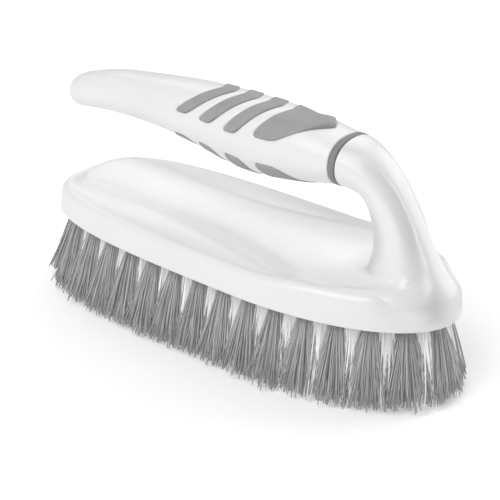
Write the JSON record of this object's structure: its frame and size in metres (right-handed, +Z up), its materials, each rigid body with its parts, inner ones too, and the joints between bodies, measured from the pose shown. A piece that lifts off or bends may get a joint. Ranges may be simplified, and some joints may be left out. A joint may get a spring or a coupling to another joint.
{
  "type": "hand scrub brush",
  "caption": "Hand scrub brush with a scooped boat-shaped base, a column at the heel, a forward-reaching grip with soft pads and splayed bristle tufts.",
  "frame": {"origin": "on the surface the bristle tips stand on, under the middle of the object's bounding box", "axes": "+X from the toe to the heel, where the column stands; +Y across the base; +Z up, away from the bristles"},
  "size_m": [0.1723, 0.07, 0.0846],
  "materials": {
    "cover": "glossy moulded white",
    "grip": "glossy moulded white",
    "soft_grip": "matt soft rubber",
    "block": "matt moulded",
    "outer_bristle": "drawn filament, satin",
    "inner_bristle": "drawn filament, satin"
  },
  "bodies": {
    "root": {"base_cover": "cover", "bristle_block": "block", "finger_pad": "soft_grip", "handle_grip": "grip", "inner_row_1": "inner_bristle", "inner_row_2": "inner_bristle", "inner_row_3": "inner_bristle", "inner_row_4": "inner_bristle", "joint_band": "soft_grip", "outer_tuft_01": "outer_bristle", "outer_tuft_02": "outer_bristle", "outer_tuft_03": "outer_bristle", "outer_tuft_04": "outer_bristle", "outer_tuft_05": "outer_bristle", "outer_tuft_06": "outer_bristle", "outer_tuft_07": "outer_bristle", "outer_tuft_08": "outer_bristle", "outer_tuft_09": "outer_bristle", "outer_tuft_10": "outer_bristle", "outer_tuft_11": "outer_bristle", "outer_tuft_12": "outer_bristle", "outer_tuft_13": "outer_bristle", "outer_tuft_14": "outer_bristle", "outer_tuft_15": "outer_bristle", "outer_tuft_16": "outer_bristle", "outer_tuft_17": "outer_bristle", "outer_tuft_18": "outer_bristle", "outer_tuft_19": "outer_bristle", "outer_tuft_20": "outer_bristle", "outer_tuft_21": "outer_bristle", "outer_tuft_22": "outer_bristle", "outer_tuft_23": "outer_bristle", "outer_tuft_24": "outer_bristle", "outer_tuft_25": "outer_bristle", "outer_tuft_26": "outer_bristle", "outer_tuft_27": "outer_bristle", "outer_tuft_28": "outer_bristle", "outer_tuft_29": "outer_bristle", "outer_tuft_30": "outer_bristle", "outer_tuft_31": "outer_bristle", "outer_tuft_32": "outer_bristle", "thumb_pad": "soft_grip", "top_stripe_1": "soft_grip", "top_stripe_2": "soft_grip", "top_stripe_3": "soft_grip", "under_stripe_1": "soft_grip", "under_stripe_2": "soft_grip", "under_stripe_3": "soft_grip"}
  },
  "joints": []
}
